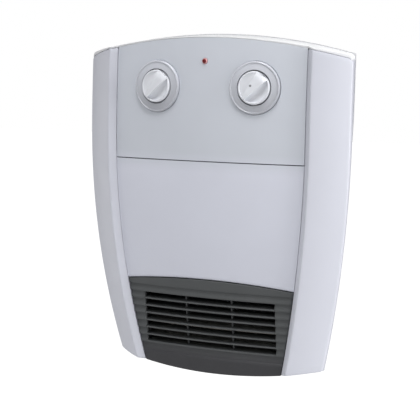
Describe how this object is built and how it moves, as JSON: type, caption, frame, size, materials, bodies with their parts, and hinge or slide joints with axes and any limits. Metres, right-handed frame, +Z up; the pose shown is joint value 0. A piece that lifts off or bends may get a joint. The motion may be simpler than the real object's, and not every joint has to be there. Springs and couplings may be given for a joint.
{
  "type": "fan convector heater",
  "caption": "Wall-hung electric fan heater: bowed front with swept side panels, rotary controls, an indicator lens and a slatted outlet grille below.",
  "frame": {"origin": "midway between the keyholes, on the back face that lies against the wall", "axes": "+Z up, the front faces -Y, +X to the right seen from the front"},
  "size_m": [0.2802, 0.1185, 0.3348],
  "materials": {
    "front_plastic": "fine satin",
    "panel_plastic": "fine satin",
    "housing_plastic": "fine satin",
    "grille_plastic": "matte charcoal",
    "dial_plastic": "semi-gloss",
    "knob_plastic": "semi-gloss",
    "lens_plastic": "clear red",
    "lamp_glass": "clear",
    "zinc_sheet": "zinc plated",
    "steel": "turned",
    "laminations": "stacked sheet, oiled",
    "black_plastic": "moulded phenolic",
    "ceramic": "unglazed steatite",
    "copper": "enamelled wire",
    "bronze": "sintered",
    "rubber": "moulded",
    "fan_sheet": "rolled",
    "fins": "rolled"
  },
  "bodies": {
    "heater_body": {"left_side_panel": "front_plastic", "right_side_panel": "front_plastic", "control_panel": "panel_plastic", "lower_panel": "panel_plastic", "top_cover": "housing_plastic", "rear_housing": "housing_plastic", "outlet_grille": "grille_plastic", "left_dial_ring": "dial_plastic", "right_dial_ring": "dial_plastic", "indicator_lens": "lens_plastic", "indicator_lamp": "lamp_glass", "chassis_plate": "black_plastic", "control_bracket": "zinc_sheet", "selector_switch": "black_plastic", "thermostat_body": "ceramic", "thermostat_bimetal": "copper", "spindle_nuts": "steel", "bearing_bush": "bronze", "bush_holder": "rubber", "scroll_end_left": "zinc_sheet", "scroll_end_right": "zinc_sheet", "fan_scroll": "zinc_sheet", "vortex_tongue": "zinc_sheet", "motor_stator": "laminations", "motor_coil": "copper", "motor_bracket_inner": "zinc_sheet", "motor_bracket_outer": "zinc_sheet", "motor_spacers": "steel", "heater_frame": "zinc_sheet", "heater_bars": "ceramic", "heater_fins": "fins", "cutout_bracket": "zinc_sheet", "thermal_cutout": "black_plastic", "terminal_block": "black_plastic", "terminal_screws": "steel", "cord_grommet": "rubber", "housing_screws": "steel", "fan_unit_screws": "steel", "bracket_screws": "steel", "motor_screws": "steel"},
    "selector_knob": {"selector_knob": "knob_plastic", "selector_spindle": "steel"},
    "thermostat_knob": {"thermostat_knob": "knob_plastic", "thermostat_spindle": "steel"},
    "fan": {"fan_impeller": "fan_sheet", "impeller_hub": "steel", "shaft_coupling": "rubber", "motor_shaft": "steel", "stub_shaft": "steel", "motor_rotor": "laminations"}
  },
  "joints": [
    {"name": "selector_knob_turn", "type": "hinge", "parent": "heater_body", "child": "selector_knob", "pos_m": [-0.0518, -0.11244, 0.0525], "axis": [0.0987, 0.9951, 0], "range_deg": [0, 270]},
    {"name": "thermostat_knob_turn", "type": "hinge", "parent": "heater_body", "child": "thermostat_knob", "pos_m": [0.0518, -0.11244, 0.0525], "axis": [-0.0987, 0.9951, 0], "range_deg": [0, 280]},
    {"name": "fan_spin", "type": "hinge", "parent": "heater_body", "child": "fan", "pos_m": [0, -0.037, -0.112], "axis": [1, 0, 0], "continuous": true}
  ]
}
